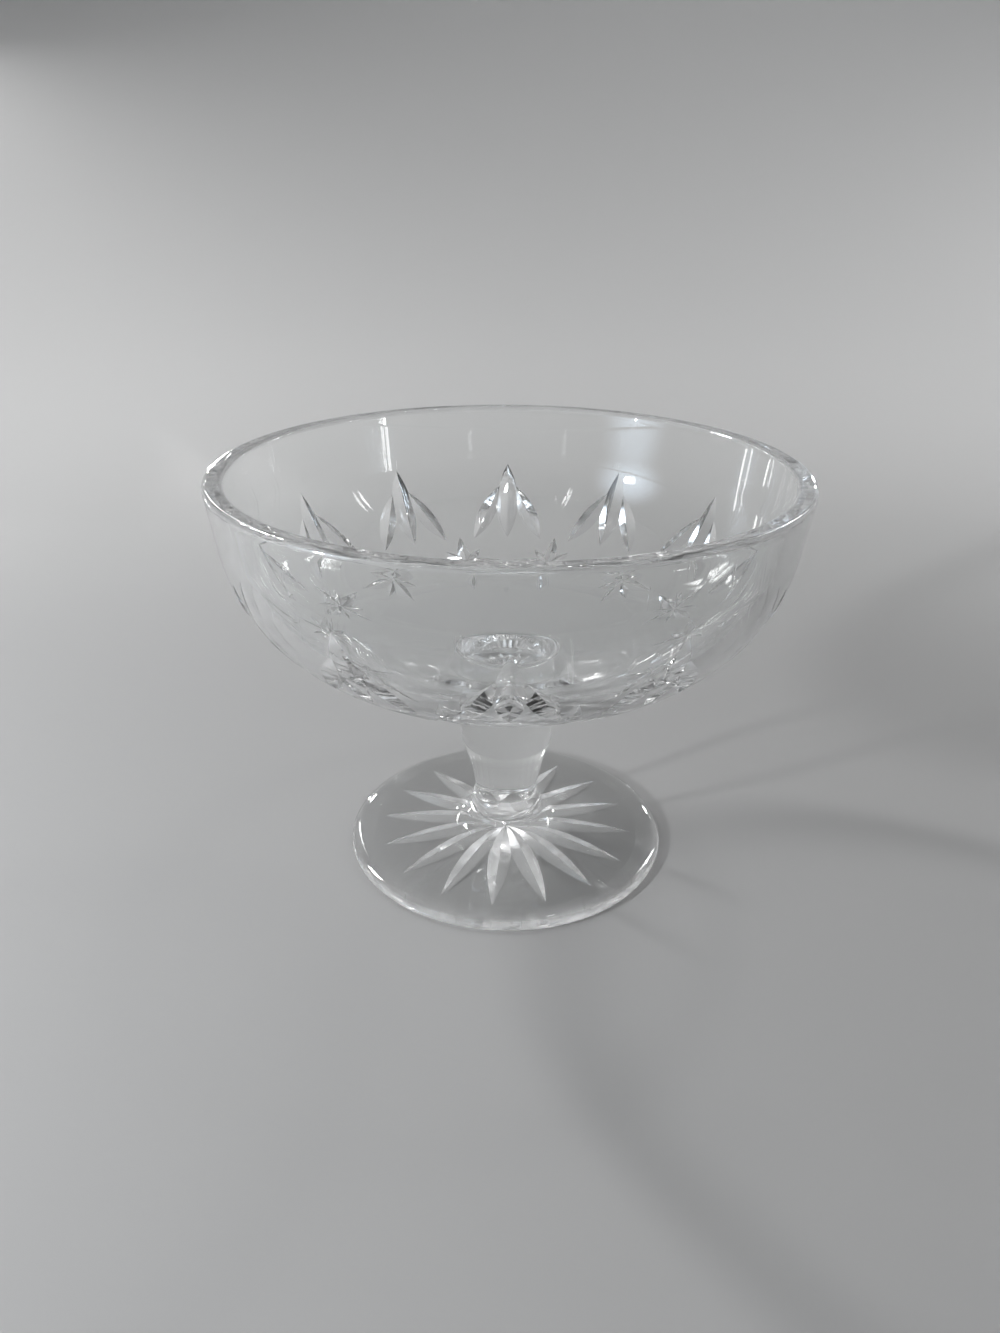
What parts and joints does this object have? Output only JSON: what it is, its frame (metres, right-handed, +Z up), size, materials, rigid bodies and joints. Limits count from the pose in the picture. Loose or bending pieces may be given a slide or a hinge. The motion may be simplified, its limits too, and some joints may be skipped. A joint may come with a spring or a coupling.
{
  "type": "footed glass bowl",
  "caption": "Round crystal bowl on a short solid stem and a domed round foot, with wheel-cut fans and stars and a rayed base.",
  "frame": {"origin": "centre of the ring under the foot that the bowl stands on", "axes": "+Z up along the axis of the bowl; +X through the upright middle cut of one fan, which is on the bowl's right side in the picture"},
  "size_m": [0.1706, 0.1704, 0.1269],
  "materials": {
    "crystal": "polished clear lead crystal"
  },
  "bodies": {
    "root": {"bowl": "crystal", "stem": "crystal", "stem_collar": "crystal", "foot": "crystal"}
  },
  "joints": []
}
